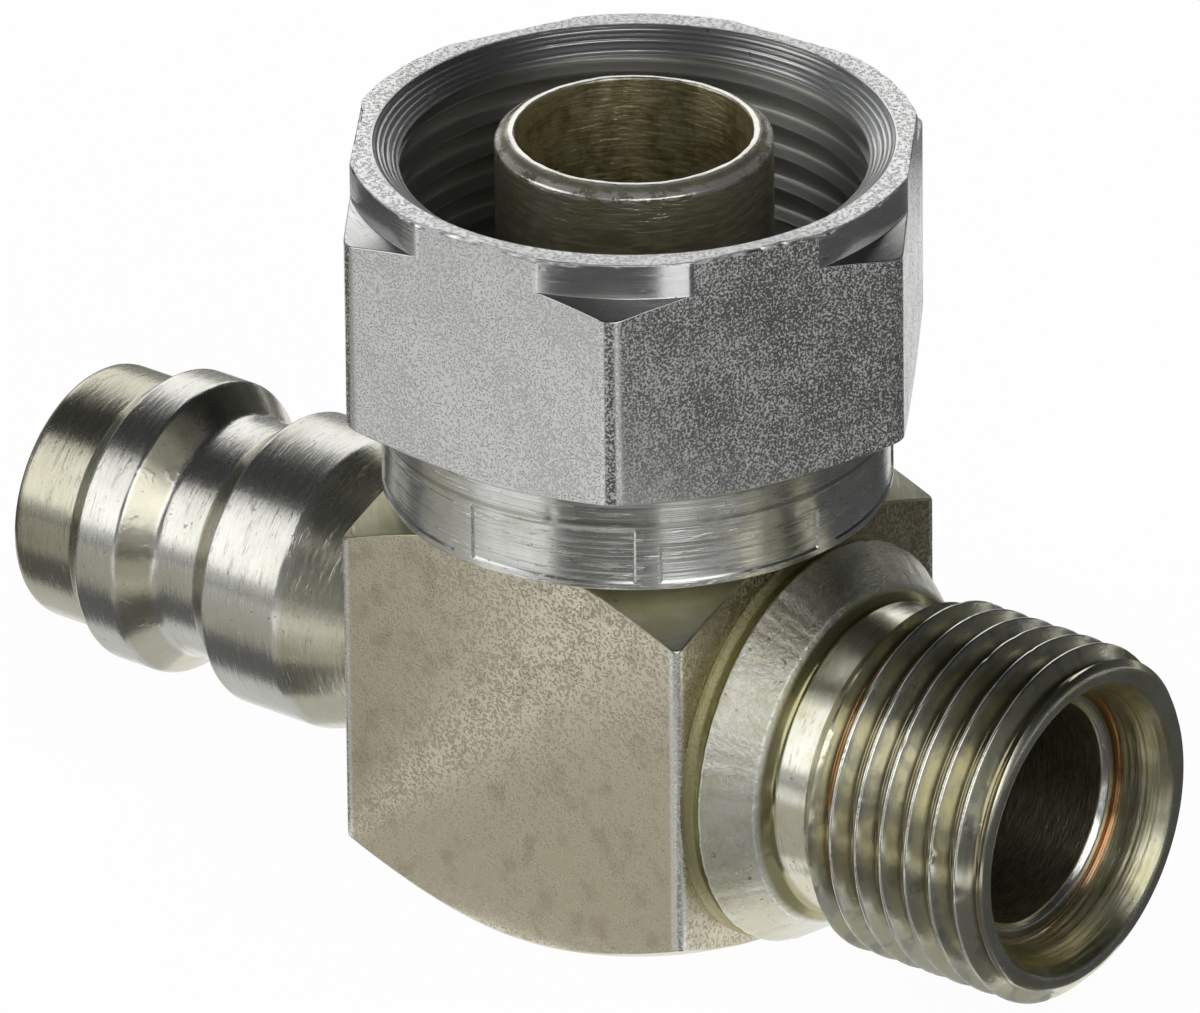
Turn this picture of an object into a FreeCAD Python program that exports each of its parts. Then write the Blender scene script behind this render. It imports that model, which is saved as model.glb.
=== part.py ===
import FreeCAD, Part
import math
import os

# Refrigerant service valve: a square block with a swivel nut on top, a male connector on one side
# and a quick-coupler service port, which holds a spring-loaded valve core, on the other.
# Z is the swivel nut's axis and X the male connector's. The origin is the centre of the flat
# that the block stands on. All sizes are in millimetres.

# Block, turned at both ends from drawn square bar
bar_width = 22.0
bar_corner_round = 0.4
end_cone_angle = 30.0
base_flat_inset = 0.5
top_land_outset = 0.55
block_extra_height = 0.4
axis_below_middle = 0.3

# Spigot on top of the block, in one piece with it
neck_radius = 8.7
flange_radius = 10.9
flange_thickness = 3.35
flange_edge_round = 0.3
tube_radius = 7.2
tube_bore_radius = 6.15
tube_stand_out = 0.55
tube_chamfer = 0.55
tube_bore_depth = 23.6
chamber_radius = 5.6
chamber_floor_height = 6.4
drill_point_angle = 118.0

# Seal ring round the foot of the pilot tube
seal_wire = 2.4
seal_groove_depth = 0.3
seal_groove_spare = 0.2

# Swivel nut, with its collar crimped in under the flange
hex_across_flats = 28.7
hex_corner_round = 1.25
hex_turn = 3.3
hex_cone_angle = 20.0
nut_length = 19.35
rim_radius = 14.82
rim_height = 1.9
collar_radius = 13.25
collar_height = 5.3
collar_edge_round = 0.4
lip_thickness = 1.5
nut_float = 0.3
nut_thread_radius = 12.1
nut_thread_length = 9.7
nut_relief_radius = 12.95
nut_relief_length = 2.0
nut_mouth_radius = 13.45
nut_mouth_depth = 1.1

# Male connector, brazed into the block's +X face
connector_length = 17.8
connector_tenon_radius = 7.5
connector_tenon_length = 4.5
boss_floor_gap = 0.1
boss_foot_length = 1.1
boss_length = 3.43
boss_front_share = 0.36
boss_front_length = 0.6
boss_edge_round = 0.3
connector_neck_radius = 8.3
connector_neck_length = 1.97
male_thread_radius = 9.525
male_thread_lead = 1.25
male_end_chamfer = 0.9
male_mouth_radius = 7.7
male_mouth_depth = 1.2
male_seat_radius = 6.95
male_seat_depth = 3.0
male_bore_radius = 5.92
male_passage_radius = 5.2

# Service port, brazed into the block's -X face
port_length = 25.4
port_tenon_radius = 6.0
port_tenon_length = 4.5
port_shank_radius = 6.7
port_foot_flare = 0.6
port_shank_length = 2.9
port_land_radius = 8.0
port_land_length = 4.63
port_land_start = 7.15
port_groove_radius = 6.55
port_groove_length = 2.62
port_slope_angle = 40.5
port_ring_length = 2.45
port_tip_radius = 6.95
port_edge_round = 0.25
port_tip_round = 0.5
cap_thread_radius = 4.32
cap_thread_depth = 6.2
cap_mouth_radius = 5.0
core_thread_radius = 3.46
core_thread_depth = 6.6
core_seat_length = 1.0
core_bore_radius = 2.75
core_bore_length = 5.2
port_cavity_radius = 3.2
port_passage_radius = 2.6

# Valve core, screwed into the service port
plug_depth = 7.8
plug_length = 4.25
plug_hole_radius = 1.5
plug_slot_width = 1.6
plug_slot_depth = 1.1
plug_socket_depth = 1.75
barrel_radius = 2.6
barrel_wall = 0.7
barrel_floor = 1.6
barrel_port_radius = 1.2
gasket_length = 1.2
pin_radius = 0.75
pin_stand_out = 1.3
pin_collar_radius = 1.7
pin_collar_length = 0.7
pin_collar_gap = 0.4
pin_tail = 0.3
pin_travel = 1.5
cup_radius = 2.3
cup_length = 1.9
cup_rim = 0.3
cup_seal_length = 0.6
cup_seal_stand_out = 0.4
spring_wire_radius = 0.18
spring_turns = 7
spring_spare = 1.3

# Clearances between pieces that fit together
braze_gap = 0.02
seat_gap = 0.02
thread_gap = 0.04
slip_gap = 0.04

# Levels and stations that several pieces share
bar_half = bar_width / 2
block_height = bar_width + block_extra_height
axis_height = block_height / 2 - axis_below_middle
base_flat_radius = bar_half - base_flat_inset
top_land_radius = bar_half + top_land_outset
boss_foot_radius = axis_height - boss_floor_gap
bar_corner_radius = bar_half * math.sqrt(2) - bar_corner_round * (math.sqrt(2) - 1)
end_slope = math.tan(math.radians(end_cone_angle))
lip_z = block_height + nut_float
lip_top_z = lip_z + lip_thickness
flange_z = lip_top_z + nut_float
flange_top_z = flange_z + flange_thickness
rim_z = lip_z + nut_length
tube_top_z = rim_z + tube_stand_out
seal_groove_z = flange_top_z + seal_wire + seal_groove_spare
port_tip_x = -bar_half - port_length
cap_thread_end_x = port_tip_x + cap_thread_depth
core_thread_end_x = cap_thread_end_x + core_thread_depth
core_bore_x = core_thread_end_x + core_seat_length
cavity_x = core_bore_x + core_bore_length
plug_x = port_tip_x + plug_depth
plug_end_x = plug_x + plug_length
barrel_x = plug_end_x - plug_socket_depth + slip_gap
collar_x = plug_end_x - plug_socket_depth + pin_collar_gap
spring_x = collar_x + pin_collar_length
spring_solid_length = spring_turns * 2 * spring_wire_radius
chamber_end_x = spring_x + spring_solid_length + pin_travel + spring_spare
chamber_inner_radius = barrel_radius - barrel_wall
barrel_end_x = chamber_end_x + barrel_floor
cup_seal_x = barrel_end_x + seat_gap
cup_x = cup_seal_x + cup_seal_stand_out

X_AXIS = FreeCAD.Vector(1, 0, 0)
Z_AXIS = FreeCAD.Vector(0, 0, 1)
CROSS_CENTRE = FreeCAD.Vector(0, 0, axis_height)


def outline(points):
    """Closed outline through points (along, out) or (along, out, round), with an arc at each round."""
    corners = [FreeCAD.Vector(p[0], p[1], 0) for p in points]
    stretches = []
    for i, here in enumerate(corners):
        radius = points[i][2] if len(points[i]) > 2 else 0
        if radius == 0:
            stretches.append((here, here, here))
            continue
        back = (corners[i - 1] - here).normalize()
        on = (corners[(i + 1) % len(corners)] - here).normalize()
        half_angle = back.getAngle(on) / 2
        reach = radius / math.tan(half_angle)
        middle = (back + on).normalize()
        nearest = middle * (radius / math.sin(half_angle) - radius)
        stretches.append((here + back * reach, here + nearest, here + on * reach))
    edges = []
    for i, (start, middle, end) in enumerate(stretches):
        if start != end:
            edges.append(Part.Arc(start, middle, end).toShape())
        following = stretches[(i + 1) % len(stretches)][0]
        if not end.isEqual(following, 1e-7):
            edges.append(Part.LineSegment(end, following).toShape())
    return Part.Wire(edges)


def turned_about_x(points):
    """Solid turned about the X axis at the block's cross bore, from (x, radius) points."""
    face = Part.Face(outline(points))
    solid = face.revolve(FreeCAD.Vector(0, 0, 0), X_AXIS, 360)
    solid.translate(CROSS_CENTRE)
    return solid


def turned_about_z(points):
    """Solid turned about the Z axis, from (z, radius) points."""
    face = Part.Face(outline(points))
    solid = face.revolve(FreeCAD.Vector(0, 0, 0), X_AXIS, 360)
    solid.rotate(FreeCAD.Vector(0, 0, 0), FreeCAD.Vector(0, 1, 0), -90)
    return solid


def rod_x(radius, start, end):
    """Plain round bar along the cross axis."""
    return Part.makeCylinder(radius, end - start, CROSS_CENTRE + X_AXIS * start, X_AXIS)


def one_solid(shape):
    """The single solid of a cut or fused shape, with split faces joined."""
    return shape.removeSplitter().Solids[0]


def square_bar():
    """Drawn square bar with rounded corners, standing on the base plane."""
    corners = []
    for side_x, side_y in ((-1, -1), (1, -1), (1, 1), (-1, 1)):
        corners.append((side_x * bar_half, side_y * bar_half, bar_corner_round))
    return Part.Face(outline(corners)).extrude(Z_AXIS * block_height)


def body_block():
    """Block turned at both ends, with the flanged spigot and pilot tube, and all its passages."""
    low_corner_z = (bar_corner_radius - base_flat_radius) * end_slope
    high_corner_z = block_height - (bar_corner_radius - top_land_radius) * end_slope
    envelope = turned_about_z([
        (0, 0),
        (0, base_flat_radius),
        (low_corner_z, bar_corner_radius),
        (high_corner_z, bar_corner_radius),
        (block_height, top_land_radius),
        (block_height, 0),
    ])
    spigot = turned_about_z([
        (block_height - 1, 0),
        (block_height - 1, neck_radius),
        (flange_z, neck_radius),
        (flange_z, flange_radius, flange_edge_round),
        (flange_top_z, flange_radius, flange_edge_round),
        (flange_top_z, tube_radius - seal_groove_depth),
        (seal_groove_z, tube_radius - seal_groove_depth),
        (seal_groove_z, tube_radius),
        (tube_top_z - tube_chamfer, tube_radius),
        (tube_top_z, tube_radius - tube_chamfer),
        (tube_top_z, 0),
    ])
    bore_end_z = tube_top_z - tube_bore_depth
    point_depth = chamber_radius / math.tan(math.radians(drill_point_angle / 2))
    passage = turned_about_z([
        (chamber_floor_height - point_depth, 0),
        (chamber_floor_height, chamber_radius),
        (bore_end_z, chamber_radius),
        (bore_end_z, tube_bore_radius),
        (tube_top_z + 1, tube_bore_radius),
        (tube_top_z + 1, 0),
    ])
    connector_pocket = rod_x(connector_tenon_radius, bar_half - connector_tenon_length, bar_half + 1)
    port_pocket = rod_x(port_tenon_radius, -bar_half - 1, -bar_half + port_tenon_length)
    connector_passage = rod_x(male_passage_radius, 0, bar_half)
    port_passage = rod_x(port_passage_radius, -bar_half, 0)
    block = square_bar().common(envelope).fuse(spigot)
    return one_solid(block.cut([passage, connector_pocket, port_pocket, connector_passage, port_passage]))


def pilot_seal():
    """Rubber ring seated on the flange, in the groove at the foot of the pilot tube."""
    wire_radius = seal_wire / 2
    ring_radius = tube_radius - seal_groove_depth + seat_gap + wire_radius
    centre = Z_AXIS * (flange_top_z + seat_gap + wire_radius)
    return Part.makeTorus(ring_radius, wire_radius, centre, Z_AXIS)


def swivel_nut():
    """Hexagon nut, turned at both ends, whose crimped lip holds it under the spigot's flange."""
    corner_radius = hex_across_flats / 2 / math.cos(math.radians(30))
    cone = math.tan(math.radians(hex_cone_angle))
    collar_top_z = lip_z + collar_height
    shoulder_z = rim_z - rim_height
    corners = []
    for corner in range(6):
        angle = math.radians(hex_turn + 60 * corner)
        corners.append((corner_radius * math.cos(angle), corner_radius * math.sin(angle), hex_corner_round))
    prism = Part.Face(outline(corners)).extrude(Z_AXIS * (rim_z + 1))
    envelope = turned_about_z([
        (collar_top_z, 0),
        (collar_top_z, collar_radius),
        (collar_top_z + (corner_radius - collar_radius) * cone, corner_radius),
        (shoulder_z - (corner_radius - rim_radius) * cone, corner_radius),
        (shoulder_z, rim_radius),
        (rim_z, rim_radius),
        (rim_z, 0),
    ])
    collar = turned_about_z([
        (lip_z, 0),
        (lip_z, collar_radius, collar_edge_round),
        (collar_top_z + 1, collar_radius),
        (collar_top_z + 1, 0),
    ])
    thread_top_z = rim_z - nut_mouth_depth
    relief_top_z = thread_top_z - nut_thread_length
    relief_z = relief_top_z - nut_relief_length
    flange_room = flange_radius + nut_float
    neck_room = neck_radius + nut_float
    bore = turned_about_z([
        (lip_z - 1, 0),
        (lip_z - 1, neck_room),
        (lip_top_z, neck_room),
        (lip_top_z, flange_room, flange_edge_round),
        (relief_z, flange_room),
        (relief_z, nut_relief_radius),
        (relief_top_z, nut_relief_radius),
        (relief_top_z + nut_relief_radius - nut_thread_radius, nut_thread_radius),
        (thread_top_z, nut_thread_radius),
        (rim_z, nut_mouth_radius),
        (rim_z + 1, nut_mouth_radius),
        (rim_z + 1, 0),
    ])
    return one_solid(prism.common(envelope).fuse(collar).cut(bore))


def male_connector():
    """Turned connector: tenon, boss on the block's face, neck, thread land and bored mouth."""
    face_x = bar_half
    boss_x = face_x + boss_length
    neck_x = boss_x + boss_front_length
    neck_end_x = neck_x + connector_neck_length
    end_x = face_x + connector_length
    tenon_x = face_x - connector_tenon_length + braze_gap
    boss_wall = boss_foot_radius - connector_neck_radius
    boss_front_radius = connector_neck_radius + boss_wall * boss_front_share
    return turned_about_x([
        (tenon_x, male_bore_radius),
        (tenon_x, connector_tenon_radius - braze_gap),
        (face_x, connector_tenon_radius - braze_gap),
        (face_x, boss_foot_radius),
        (face_x + boss_foot_length, boss_foot_radius, boss_edge_round),
        (boss_x, boss_front_radius, boss_edge_round),
        (neck_x, connector_neck_radius),
        (neck_end_x, connector_neck_radius),
        (neck_end_x + male_thread_lead, male_thread_radius),
        (end_x - male_end_chamfer, male_thread_radius),
        (end_x, male_thread_radius - male_end_chamfer),
        (end_x, male_mouth_radius),
        (end_x - male_mouth_depth, male_seat_radius),
        (end_x - male_seat_depth, male_seat_radius),
        (end_x - male_seat_depth, male_bore_radius),
    ])


def service_port():
    """Quick-coupler port: land, locking groove, coupler ring and tip, bored for cap and core."""
    face_x = -bar_half
    tenon_x = face_x + port_tenon_length - braze_gap
    slope = math.tan(math.radians(port_slope_angle))
    groove_slope = (port_land_radius - port_groove_radius) / slope
    tip_slope = (port_land_radius - port_tip_radius) / slope
    land_x = face_x - port_land_start
    land_end_x = land_x - port_land_length
    groove_x = land_end_x - groove_slope
    groove_end_x = groove_x - port_groove_length
    ring_x = groove_end_x - groove_slope
    ring_end_x = ring_x - port_ring_length
    cap_chamfer = cap_mouth_radius - cap_thread_radius
    return turned_about_x([
        (tenon_x, port_cavity_radius),
        (cavity_x, port_cavity_radius),
        (cavity_x, core_bore_radius),
        (core_bore_x, core_bore_radius),
        (core_thread_end_x, core_thread_radius),
        (cap_thread_end_x, core_thread_radius),
        (cap_thread_end_x, cap_thread_radius),
        (port_tip_x + cap_chamfer, cap_thread_radius),
        (port_tip_x, cap_mouth_radius),
        (port_tip_x, port_tip_radius, port_tip_round),
        (ring_end_x - tip_slope, port_tip_radius),
        (ring_end_x, port_land_radius, port_edge_round),
        (ring_x, port_land_radius, port_edge_round),
        (groove_end_x, port_groove_radius, port_edge_round),
        (groove_x, port_groove_radius, port_edge_round),
        (land_end_x, port_land_radius, port_edge_round),
        (land_x, port_land_radius, port_edge_round),
        (face_x - port_shank_length, port_shank_radius),
        (face_x - port_foot_flare, port_shank_radius),
        (face_x, port_shank_radius + port_foot_flare),
        (face_x, port_tenon_radius - braze_gap),
        (tenon_x, port_tenon_radius - braze_gap),
    ])


def core_plug():
    """Threaded head of the valve core, slotted for its tool, with a socket that the barrel turns in."""
    outer = core_thread_radius - thread_gap
    socket_x = plug_end_x - plug_socket_depth
    plug = turned_about_x([
        (plug_x, plug_hole_radius),
        (plug_x, outer),
        (plug_end_x, outer),
        (plug_end_x, barrel_radius + slip_gap),
        (socket_x, barrel_radius + slip_gap),
        (socket_x, plug_hole_radius),
    ])
    corner = FreeCAD.Vector(plug_x - 1, -outer - 1, axis_height - plug_slot_width / 2)
    slot = Part.makeBox(plug_slot_depth + 1, 2 * outer + 2, plug_slot_width, corner)
    return one_solid(plug.cut(slot))


def core_barrel():
    """Barrel that holds the spring, with the valve's seat on its inner end."""
    return turned_about_x([
        (barrel_x, chamber_inner_radius),
        (barrel_x, barrel_radius),
        (barrel_end_x, barrel_radius),
        (barrel_end_x, barrel_port_radius),
        (chamber_end_x, barrel_port_radius),
        (chamber_end_x, chamber_inner_radius),
    ])


def core_gasket():
    """Plastic ring that the plug presses against the cone in the port."""
    start = plug_end_x + seat_gap
    end = start + gasket_length
    cone = (core_thread_radius - core_bore_radius) / core_seat_length
    outer = core_thread_radius - thread_gap
    at_end = outer - (end - core_thread_end_x) * cone
    return turned_about_x([
        (start, barrel_radius + seat_gap),
        (start, outer),
        (core_thread_end_x, outer),
        (end, at_end),
        (end, barrel_radius + seat_gap),
    ])


def core_pin():
    """Pin that the coupler pushes in, with the collar that the spring bears on."""
    tip_x = plug_x - pin_stand_out
    tail_x = cup_x + cup_length + pin_tail
    return turned_about_x([
        (tip_x, 0),
        (tip_x, pin_radius, pin_radius / 3),
        (collar_x, pin_radius),
        (collar_x, pin_collar_radius),
        (spring_x, pin_collar_radius),
        (spring_x, pin_radius),
        (tail_x, pin_radius),
        (tail_x, 0),
    ])


def core_spring():
    """Compression spring between the pin's collar and the barrel's floor."""
    room = chamber_end_x - spring_x - 2 * (spring_wire_radius + seat_gap)
    coil_radius = (pin_radius + chamber_inner_radius) / 2
    start_x = spring_x + spring_wire_radius + seat_gap
    coil = Part.makeHelix(room / spring_turns, room, coil_radius)
    section = Part.Wire(Part.makeCircle(
        spring_wire_radius, FreeCAD.Vector(coil_radius, 0, 0), FreeCAD.Vector(0, 1, 0)))
    spring = Part.Wire(coil.Edges).makePipeShell([section], True, True)
    spring.rotate(FreeCAD.Vector(0, 0, 0), FreeCAD.Vector(0, 1, 0), 90)
    spring.translate(CROSS_CENTRE + X_AXIS * start_x)
    return spring


def core_cup():
    """Brass cup riveted to the pin's inner end, which carries the rubber seal."""
    seal_x = cup_seal_x + cup_seal_length + seat_gap
    return turned_about_x([
        (cup_x, cup_radius - cup_rim),
        (cup_x, cup_radius),
        (cup_x + cup_length, cup_radius, cup_rim),
        (cup_x + cup_length, pin_radius + seat_gap),
        (seal_x, pin_radius + seat_gap),
        (seal_x, cup_radius - cup_rim),
    ])


def core_seal():
    """Rubber ring in the cup, which closes on the barrel's end."""
    return turned_about_x([
        (cup_seal_x, pin_radius + seat_gap),
        (cup_seal_x, cup_radius - cup_rim - seat_gap),
        (cup_seal_x + cup_seal_length, cup_radius - cup_rim - seat_gap),
        (cup_seal_x + cup_seal_length, pin_radius + seat_gap),
    ])


os.makedirs("parts", exist_ok=True)
pieces = (
    body_block, pilot_seal, swivel_nut, male_connector, service_port, core_plug, core_barrel,
    core_gasket, core_pin, core_spring, core_cup, core_seal,
)
for piece in pieces:
    solid = piece()
    solid.exportStep("parts/" + piece.__name__ + ".step")
    print(piece.__name__, "volume", round(solid.Volume, 2), "valid", solid.isValid())
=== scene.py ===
import math

import bmesh
import bpy
import numpy as np
from mathutils import Matrix, Vector

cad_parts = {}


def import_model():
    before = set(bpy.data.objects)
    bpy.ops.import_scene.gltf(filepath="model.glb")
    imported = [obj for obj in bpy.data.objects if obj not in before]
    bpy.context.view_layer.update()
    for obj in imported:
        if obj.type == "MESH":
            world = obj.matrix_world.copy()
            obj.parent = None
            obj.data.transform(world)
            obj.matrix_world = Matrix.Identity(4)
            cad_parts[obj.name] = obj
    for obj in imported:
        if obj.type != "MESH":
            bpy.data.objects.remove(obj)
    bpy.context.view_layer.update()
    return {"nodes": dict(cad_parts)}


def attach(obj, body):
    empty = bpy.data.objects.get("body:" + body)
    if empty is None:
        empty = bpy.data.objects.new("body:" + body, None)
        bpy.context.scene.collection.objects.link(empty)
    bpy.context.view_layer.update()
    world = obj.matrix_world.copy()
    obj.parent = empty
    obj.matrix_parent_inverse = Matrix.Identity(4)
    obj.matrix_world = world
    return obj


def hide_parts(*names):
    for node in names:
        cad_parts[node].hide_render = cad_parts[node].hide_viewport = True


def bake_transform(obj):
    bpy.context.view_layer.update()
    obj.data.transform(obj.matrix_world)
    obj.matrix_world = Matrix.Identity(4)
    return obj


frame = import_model()

# Lengths below are in millimetres, and become metres where a mesh or a place is made. A turned
# piece is given by places along its axis and radii from it. The block and the nut stand on Z = 0,
# and the connector and the port lie along X at the height of the side passages.
MM = 0.001
TURN = 2 * math.pi
AXIS_HEIGHT = 10.9

# The bar, and the counterbores that hold the connector and the port
BAR_HALF = 11.0
BAR_EASE = 0.4
COUNTERBORE_FLOOR = 6.5
SPIGOT_START = 6.52

# Steps for a rounded corner, and the angle from which an edge stays sharp
ROUND_STEPS = 5
SHARP_ANGLE = math.radians(35)


# Grids of rings

def even_columns(count):
    """Angles of a full turn, with the first one repeated at the end."""
    return np.linspace(0, TURN, count + 1)


def merged_columns(angles):
    """Sorted angles of one turn without near doubles, closed by a repeat of the first."""
    turn = np.unique(np.round(np.mod(angles, TURN), 5))
    keep = np.append(True, np.diff(turn) > 2e-4)
    turn = turn[keep]
    return np.append(turn, turn[0] + TURN)


def rounded_rows(nodes, columns):
    """Rows of (along, radius) through the nodes (along, radius, round), with each corner eased."""
    count = len(columns)
    points = [
        np.array([np.broadcast_to(n[0], count), np.broadcast_to(n[1], count)], float) for n in nodes
    ]
    rows = []
    for i, here in enumerate(points):
        reach = nodes[i][2] if len(nodes[i]) > 2 else 0
        if reach == 0 or i in (0, len(points) - 1):
            rows.append(here)
            continue
        back = points[i - 1] - here
        on = points[i + 1] - here
        back_length = np.hypot(back[0], back[1])
        on_length = np.hypot(on[0], on[1])
        back_share = np.minimum(reach, 0.3 * back_length) / np.maximum(back_length, 1e-9)
        on_share = np.minimum(reach, 0.3 * on_length) / np.maximum(on_length, 1e-9)
        start = here + back * back_share
        end = here + on * on_share
        rows.append(here + back * back_share * 1.5)
        for t in np.linspace(0, 1, ROUND_STEPS):
            rows.append(start * (1 - t) ** 2 + here * 2 * t * (1 - t) + end * t ** 2)
        rows.append(here + on * on_share * 1.5)
    return rows


def ring_mesh(name, rows, columns, axis):
    """Closed mesh object through rings of (along, radius), one pair for each column's angle."""
    grid = np.array(rows)
    along, radius = grid[:, 0, :], np.maximum(grid[:, 1, :], 0)
    across = radius * np.cos(columns)
    aside = radius * np.sin(columns)
    if axis == "X":
        places = np.stack([along, across, aside + AXIS_HEIGHT], axis=-1)
    else:
        places = np.stack([across, aside, along], axis=-1)
    ring_count, column_count = along.shape
    corner = np.arange(ring_count * column_count).reshape(ring_count, column_count)
    following = np.roll(corner, -1, axis=0)
    quads = np.stack([corner[:, :-1], corner[:, 1:], following[:, 1:], following[:, :-1]], axis=-1)
    mesh = bpy.data.meshes.new(name)
    mesh.from_pydata((places.reshape(-1, 3) * MM).tolist(), [], quads.reshape(-1, 4).tolist())
    work = bmesh.new()
    work.from_mesh(mesh)
    bmesh.ops.remove_doubles(work, verts=work.verts, dist=2e-7)
    bmesh.ops.dissolve_degenerate(work, edges=work.edges, dist=2e-7)
    bmesh.ops.recalc_face_normals(work, faces=work.faces)
    work.to_mesh(mesh)
    work.free()
    return linked(name, mesh)


def linked(name, data):
    """New object in the scene for a mesh, a lamp or a camera."""
    made = bpy.data.objects.new(name, data)
    bpy.context.scene.collection.objects.link(made)
    return made


def ripple(columns, seed, waves):
    """Smooth irregular function of the angle, about -1 to 1, the same on every run."""
    source = np.random.default_rng(seed)
    total = np.zeros(len(columns))
    weight = 0
    for wave in waves:
        strength = 1 / math.sqrt(wave)
        total += strength * np.sin(wave * columns + source.uniform(0, TURN))
        weight += strength
    return total / weight


def nicks(along, columns, seed, count, reach, depth, along_range):
    """Small dents, as a drop of the radius at each place."""
    source = np.random.default_rng(seed)
    drop = np.zeros(np.broadcast(along, columns).shape)
    for _ in range(count):
        at = source.uniform(*along_range)
        turn = source.uniform(0, TURN)
        size = reach * source.uniform(0.5, 1.3)
        gap = np.angle(np.exp(1j * (columns - turn))) * 9
        near = ((along - at) ** 2 + gap ** 2) / size ** 2
        drop += depth * source.uniform(0.4, 1.2) * np.exp(-near)
    return drop


def tooled_rows(points, count, columns, seed, size):
    """Even rows along a path of (along, radius), each a little off it, as a lathe tool leaves them."""
    path = np.array(points, float)
    length = np.append(0, np.cumsum(np.hypot(*np.diff(path, axis=0).T)))
    source = np.random.default_rng(seed)
    rows = []
    for place in np.linspace(0, length[-1], count):
        off = size * source.uniform(-1, 1) * (0 < place < length[-1])
        along = np.interp(place, length, path[:, 0]) + off * 0.5
        radius = np.interp(place, length, path[:, 1]) + off
        rows.append(np.array([np.full(len(columns), along), np.full(len(columns), radius)]))
    return rows


# Threads

# Half a turn of each thread: distances from the middle of the crest, or of the root for the nut's
# and the port's, and how deep the flank has dropped there. Worn crests are rounder than new ones.
OUTER_FORM = (
    (0, 0.045, 0.075, 0.115, 0.26, 0.41, 0.55, 0.65, 0.71, 0.7937),
    (0, 0.004, 0.026, 0.085, 0.33, 0.59, 0.83, 0.95, 0.975, 0.98),
)
NUT_FORM = (
    (0, 0.42, 0.50, 0.60, 0.70, 0.79, 0.84, 0.907),
    (0, 0.005, 0.05, 0.2, 0.4, 0.57, 0.64, 0.65),
)
CAP_FORM = ((0, 0.10, 0.20, 0.30, 0.42, 0.5), (0, 0.06, 0.25, 0.45, 0.58, 0.6))
CORE_FORM = ((0, 0.1, 0.3, 0.4), (0, 0.05, 0.3, 0.35))


def thread_rows(columns, start, end, pitch, phase, form, crest, wall, inward):
    """Rows that follow a right-hand helix between two ends, cut off by the plain wall."""
    offsets = np.array(form[0]) / form[0][-1] * pitch / 2
    drops = np.array(form[1])
    lines = np.concatenate([offsets, pitch - offsets[-2:0:-1]])
    first = math.floor((start - phase) / pitch) - 2
    last = math.ceil((end - phase) / pitch) + 1
    rows = []
    for turn in range(first, last + 1):
        for line in lines:
            along = np.clip(phase + turn * pitch + line + pitch * columns / TURN, start, end)
            place = np.mod((along - phase) / pitch - columns / TURN, 1.0) * pitch
            drop = np.interp(np.minimum(place, pitch - place), offsets, drops)
            radius = wall(along)
            if inward:
                radius = np.maximum(radius, crest + drops[-1] - drop)
            else:
                radius = np.minimum(radius, crest - drop)
            rows.append(np.array([along, radius]))
    return rows


# Male connector

CONNECTOR_BORE = 5.92
CONNECTOR_SPIGOT = 7.48
BOSS_RADIUS = 10.84
BOSS_CREST = 12.1
BOSS_FRONT = 14.43
NECK_START = 15.03
NECK_RADIUS = 8.3
THREAD_START = 17.0
THREAD_RADIUS = 9.525
THREAD_PITCH = 1.5875
CHAMFER_END = (28.62, 8.8)
LIP_END = (28.56, 7.76)
FLARE_END = (25.85, 6.8)
BORE_STEP = 25.8


def connector_wall(along):
    """Plain wall that the thread is cut in, with its lead and its chamfer."""
    places = [THREAD_START, 18.25, 27.9, CHAMFER_END[0]]
    return np.interp(along, places, [NECK_RADIUS, THREAD_RADIUS, THREAD_RADIUS, CHAMFER_END[1]])


def male_connector():
    """Boss, neck, worn thread and bored mouth in one turned piece."""
    columns = even_columns(512)
    back = rounded_rows([
        (SPIGOT_START, CONNECTOR_BORE),
        (SPIGOT_START, CONNECTOR_SPIGOT, 0.2),
        (BAR_HALF, CONNECTOR_SPIGOT),
        (BAR_HALF, BOSS_RADIUS, 0.02),
        (11.12, 10.66, 0.05),
        (11.45, 10.44, 0.2),
        (11.9, 10.6, 0.1),
        (BOSS_CREST, 10.8, 0.09),
        (BOSS_FRONT, 9.19, 0.16),
        (NECK_START, NECK_RADIUS, 0.2),
        (THREAD_START, NECK_RADIUS),
    ], columns)
    for row in back:
        crest = nicks(row[0], columns, seed=8, count=70, reach=0.22, depth=0.05, along_range=(11.9, 12.3))
        row[1] -= crest * (row[1] > 10.5)
        front = nicks(row[0], columns, seed=9, count=50, reach=0.18, depth=0.03, along_range=(14.2, 14.6))
        row[1] -= front * (row[1] > 8.8)
    thread = thread_rows(
        columns, THREAD_START, CHAMFER_END[0], THREAD_PITCH, phase=20.41,
        form=OUTER_FORM, crest=THREAD_RADIUS, wall=connector_wall, inward=False)
    for row in thread:
        worn = nicks(row[0], columns, seed=5, count=90, reach=0.3, depth=0.06, along_range=(18.2, 28.2))
        row[1] -= worn * (row[1] > 9.3)
    lip = tooled_rows([
        CHAMFER_END, (28.72, 8.66), (28.78, 8.46), (28.8, 8.26), (28.78, 8.08), (28.7, 7.9), LIP_END,
    ], 16, columns, seed=21, size=0.004)
    flare = tooled_rows([
        LIP_END, (28.2, 7.5), (27.7, 7.24), (27.1, 7.06), (26.5, 6.98), (26.0, 6.92), FLARE_END,
    ], 44, columns, seed=22, size=0.016)
    bore = rounded_rows([
        FLARE_END,
        (BORE_STEP, 6.7, 0.05),
        (BORE_STEP, 6.2, 0.1),
        (25.5, CONNECTOR_BORE, 0.1),
        (21.0, CONNECTOR_BORE),
        (SPIGOT_START, CONNECTOR_BORE),
    ], columns)
    return ring_mesh("connector_shell", back + thread + lip + flare + bore, columns, "X")


# Service port

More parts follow.
